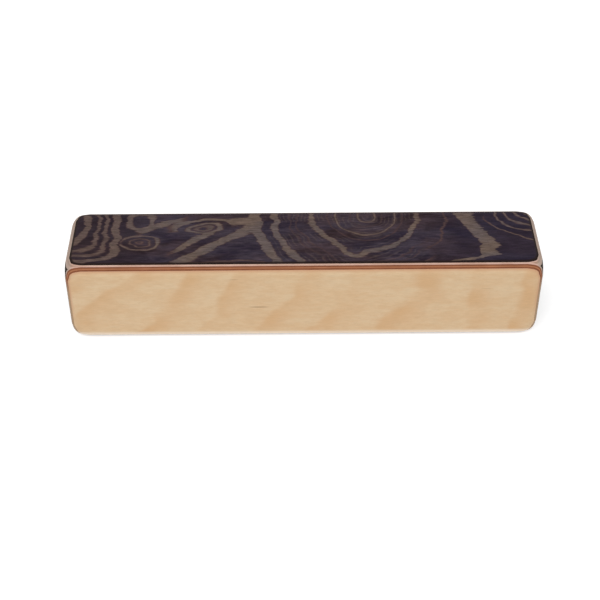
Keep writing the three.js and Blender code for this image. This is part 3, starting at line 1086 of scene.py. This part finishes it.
def grain_row(body, kind, tree, sockets, sizes):
    """One sliding row of loose grains as a plain mesh that replaces its solids."""
    nodes = [f"{kind}_{body[-1]}{index + 1}" for index in range(GRAINS_PER_BODY)]
    places = []
    for node in nodes:
        lowest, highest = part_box(node)
        centre = (lowest + highest) / 2
        slot_middle = round(centre.x / (PITCH * MM)) * PITCH * MM
        for number in range(sizes["per_place"]):
            offset = (number - (sizes["per_place"] - 1) / 2) * sizes["spacing"] * MM
            places.append((slot_middle + offset, centre.y, centre.z))
    data = bpy.data.meshes.new(body + "_points")
    data.from_pydata(places, [], [])
    points = bpy.data.objects.new(body + "_points", data)
    bpy.context.scene.collection.objects.link(points)
    modifier = points.modifiers.new("grains", "NODES")
    modifier.node_group = tree
    modifier[sockets["Diameter"]] = sizes["diameter"] * MM
    modifier[sockets["Flatness"]] = sizes["flatness"]
    modifier[sockets["Dimple"]] = sizes["dimple"]
    modifier[sockets["Detail"]] = GRAIN_DETAIL
    bpy.context.view_layer.update()
    evaluated = points.evaluated_get(bpy.context.evaluated_depsgraph_get())
    mesh = bpy.data.meshes.new_from_object(evaluated)
    mesh.name = "loose_" + body
    row = bpy.data.objects.new("loose_" + body, mesh)
    bpy.context.scene.collection.objects.link(row)
    bpy.data.objects.remove(points)
    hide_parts(*nodes)
    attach(row, body)
    return row


BALL_SIZES = {
    "diameter": BALL_DIAMETER,
    "flatness": 1.0,
    "dimple": 0.0,
    "spacing": BALL_SPACING,
    "per_place": BALLS_PER_PLACE,
}
SEED_SIZES = {
    "diameter": SEED_DIAMETER,
    "flatness": SEED_THICKNESS / SEED_DIAMETER,
    "dimple": DIMPLE_DEPTH_SHARE,
    "spacing": SEED_SPACING,
    "per_place": SEEDS_PER_PLACE,
}
ball_tree, ball_sockets = grains_tree("steel_balls", STEEL, 1.0)
seed_tree, seed_sockets = grains_tree("seeds", SEED, SEED_SMALLEST)
for row in "abc":
    grain_row("balls_" + row, "steel_ball", ball_tree, ball_sockets, BALL_SIZES)
    grain_row("seeds_" + row, "seed", seed_tree, seed_sockets, SEED_SIZES)


# Floor, light and camera.


def seen_share(tree):
    """1 for what the camera sees, also in a reflection or through a clear thing, and 0 for the rest."""
    rays = tree.nodes.new("ShaderNodeLightPath").outputs
    return greatest(tree, rays["Is Camera Ray"], rays["Is Glossy Ray"], rays["Is Transmission Ray"])


def pale_floor():
    """A floor that glows only to the eye, so that it looks white and still shows the box's shadow."""
    half = FLOOR_SIDE * MM / 2
    corners = [(-half, -half, 0), (half, -half, 0), (half, half, 0), (-half, half, 0)]
    data = bpy.data.meshes.new("pale_floor")
    data.from_pydata(corners, [], [(0, 1, 2, 3)])
    floor = bpy.data.objects.new("pale_floor", data)
    bpy.context.scene.collection.objects.link(floor)
    material, tree, shader = new_material("pale_floor", 0.0)
    shader.inputs["Base Color"].default_value = FLOOR_COLOUR
    shader.inputs["Roughness"].default_value = FLOOR_ROUGHNESS
    shader.inputs["Emission Color"].default_value = WHITE
    glow = maths(tree, "MULTIPLY", seen_share(tree), FLOOR_GLOW)
    connect(tree, glow, shader.inputs["Emission Strength"])
    data.materials.append(material)


def white_sky():
    """A sky that looks white to the eye and lights the box more softly."""
    world = bpy.data.worlds.new("white_sky")
    bpy.context.scene.world = world
    world.use_nodes = True
    tree = world.node_tree
    strength = maths(tree, "MULTIPLY_ADD", seen_share(tree), 1 - SKY_STRENGTH, SKY_STRENGTH)
    background = tree.nodes["Background"]
    background.inputs["Color"].default_value = WHITE
    connect(tree, strength, background.inputs["Strength"])


def soft_lamp(name, lamp):
    light = bpy.data.lights.new(name, "AREA")
    light.size = lamp["side"] * MM
    light.energy = lamp["power"]
    holder = bpy.data.objects.new(name, light)
    bpy.context.scene.collection.objects.link(holder)
    place = Vector(lamp["place"]) * MM
    holder.location = place
    holder.rotation_euler = (Vector(LAMP_AIM) * MM - place).to_track_quat("-Z", "Y").to_euler()


def photo_camera():
    data = bpy.data.cameras.new("camera")
    data.lens = CAMERA_LENS
    data.sensor_width = CAMERA_SENSOR
    camera = bpy.data.objects.new("camera", data)
    bpy.context.scene.collection.objects.link(camera)
    camera.location = Vector(CAMERA_PLACE) * MM
    camera.rotation_euler = [math.radians(turn) for turn in CAMERA_TURNS]
    bpy.context.scene.camera = camera


pale_floor()
white_sky()
soft_lamp("key_lamp", KEY_LAMP)
soft_lamp("fill_lamp", FILL_LAMP)
photo_camera()
bpy.context.scene.view_settings.view_transform = "Standard"
